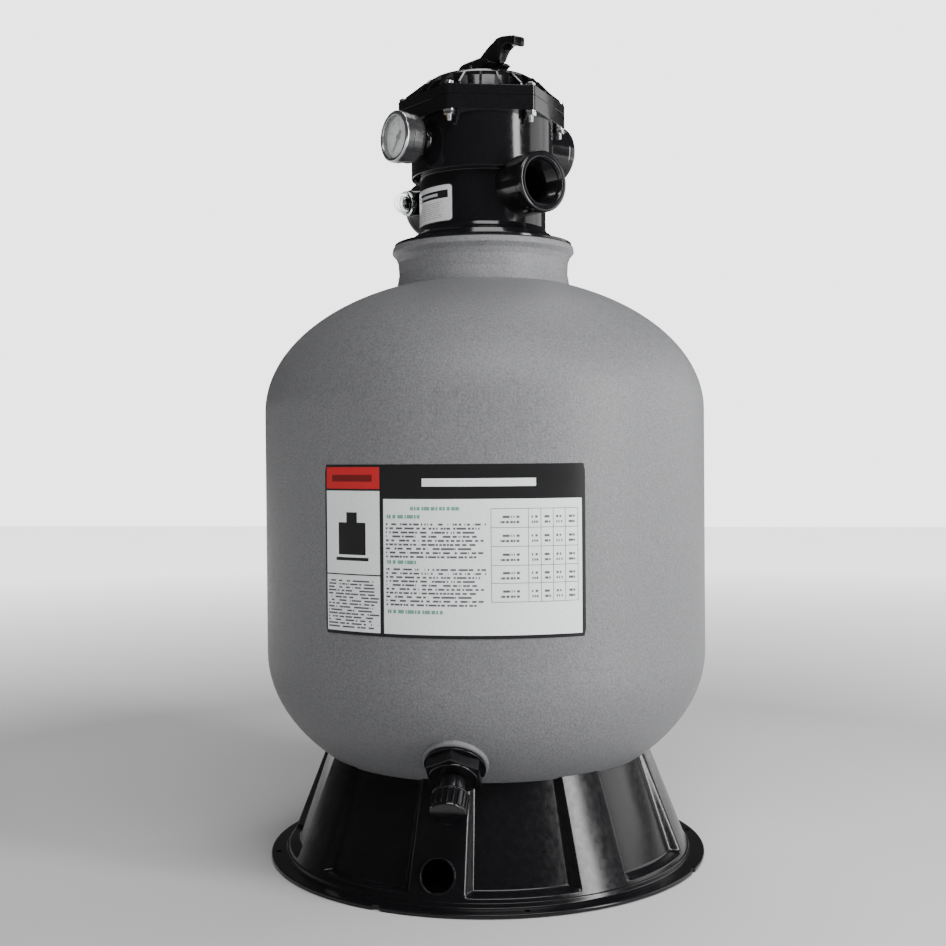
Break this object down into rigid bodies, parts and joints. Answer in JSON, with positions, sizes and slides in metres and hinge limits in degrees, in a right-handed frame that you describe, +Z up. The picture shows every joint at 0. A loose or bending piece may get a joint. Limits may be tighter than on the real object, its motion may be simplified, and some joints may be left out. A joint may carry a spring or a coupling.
{
  "type": "sand filter tank",
  "caption": "Round-shouldered tank on a ribbed base, with a six-position valve on top, a handle to turn it, a pressure gauge, a sight glass and a capped drain.",
  "frame": {"origin": "on the floor, at the middle of the footprint", "axes": "+Z up, -Y is the front, where the drain and the label face"},
  "size_m": [0.457, 0.4747, 0.843],
  "materials": {
    "grey_shell": "satin rotomoulded grey with a fine mottle",
    "black_gloss": "glossy moulded black",
    "black_satin": "satin moulded black",
    "rubber": "matt",
    "steel": "bright stainless",
    "silver": "satin",
    "case_grey": "grey satin",
    "brass": "turned",
    "paper": "printed film, satin",
    "white_plastic": "moulded white",
    "needle_paint": "dark paint",
    "clear": "clear"
  },
  "bodies": {
    "filter": {"tank_shell": "grey_shell", "tank_label": "paper", "base_skirt": "black_satin", "valve_body": "black_gloss", "neck_oring": "rubber", "lid_oring": "rubber", "valve_sticker": "paper", "lid": "black_gloss", "spider_gasket": "rubber", "stem_oring_1": "rubber", "stem_oring_2": "rubber", "gauge_stem": "brass", "gauge_case": "case_grey", "gauge_dial": "paper", "gauge_lens": "clear", "gauge_bezel": "silver", "sight_glass": "clear", "sight_glass_oring": "rubber", "standpipe": "white_plastic", "lateral_hub": "white_plastic", "top_diffuser": "white_plastic", "drain_gasket": "rubber", "drain_plug": "black_gloss", "drain_screen": "white_plastic", "drain_nipple": "black_gloss", "lid_bolt_1": "steel", "lid_nut_1": "steel", "lid_bolt_2": "steel", "lid_nut_2": "steel", "lid_bolt_3": "steel", "lid_nut_3": "steel", "lid_bolt_4": "steel", "lid_nut_4": "steel", "lid_bolt_5": "steel", "lid_nut_5": "steel", "lid_bolt_6": "steel", "lid_nut_6": "steel", "lateral_1": "white_plastic", "lateral_2": "white_plastic", "lateral_3": "white_plastic", "lateral_4": "white_plastic", "lateral_5": "white_plastic", "lateral_6": "white_plastic", "lateral_7": "white_plastic", "lateral_8": "white_plastic"},
    "selector": {"handle_washer": "black_satin", "diverter_spring": "steel", "spring_washer": "white_plastic"},
    "diverter": {"diverter": "black_satin", "handle_pin": "steel"},
    "handle": {"handle": "black_gloss"},
    "needle": {"gauge_needle": "needle_paint"},
    "cap_seal": {"drain_cap_gasket": "rubber"},
    "cap": {"drain_cap": "black_gloss"}
  },
  "joints": [
    {"name": "valve_turn", "type": "hinge", "parent": "filter", "child": "selector", "pos_m": [0, 0.0095, 0.818], "axis": [0, 0, 1], "continuous": true},
    {"name": "diverter_lift", "type": "slide", "parent": "selector", "child": "diverter", "axis": [0, 0, 1], "range_m": [0, 0.005], "deforming": ["diverter_spring"]},
    {"name": "handle_press", "type": "hinge", "parent": "diverter", "child": "handle", "pos_m": [0, 0.0095, 0.818], "axis": [0.682, 0.7314, 0], "range_deg": [0, 16], "stiffness_Nm_per_rad": 1.28, "springref_deg": -12.81},
    {"name": "gauge_needle_turn", "type": "hinge", "parent": "filter", "child": "needle", "pos_m": [-0.07425, -0.06475, 0.733], "axis": [0.7071, 0.7071, 0], "range_deg": [0, 270], "stiffness_Nm_per_rad": 0.0002, "springref_deg": -11.46},
    {"name": "cap_travel", "type": "slide", "parent": "filter", "child": "cap_seal", "axis": [0, -0.7431, -0.6691], "range_m": [0, 0.009]},
    {"name": "cap_turn", "type": "hinge", "parent": "cap_seal", "child": "cap", "pos_m": [0, -0.1865, 0.1305], "axis": [0, -0.7431, -0.6691], "range_deg": [0, 1080]}
  ],
  "couplings": [
    {"joint": "diverter_lift", "follows": "handle_press", "m_per_rad": 0.0179},
    {"joint": "cap_travel", "follows": "cap_turn", "m_per_rad": 0.000477}
  ]
}
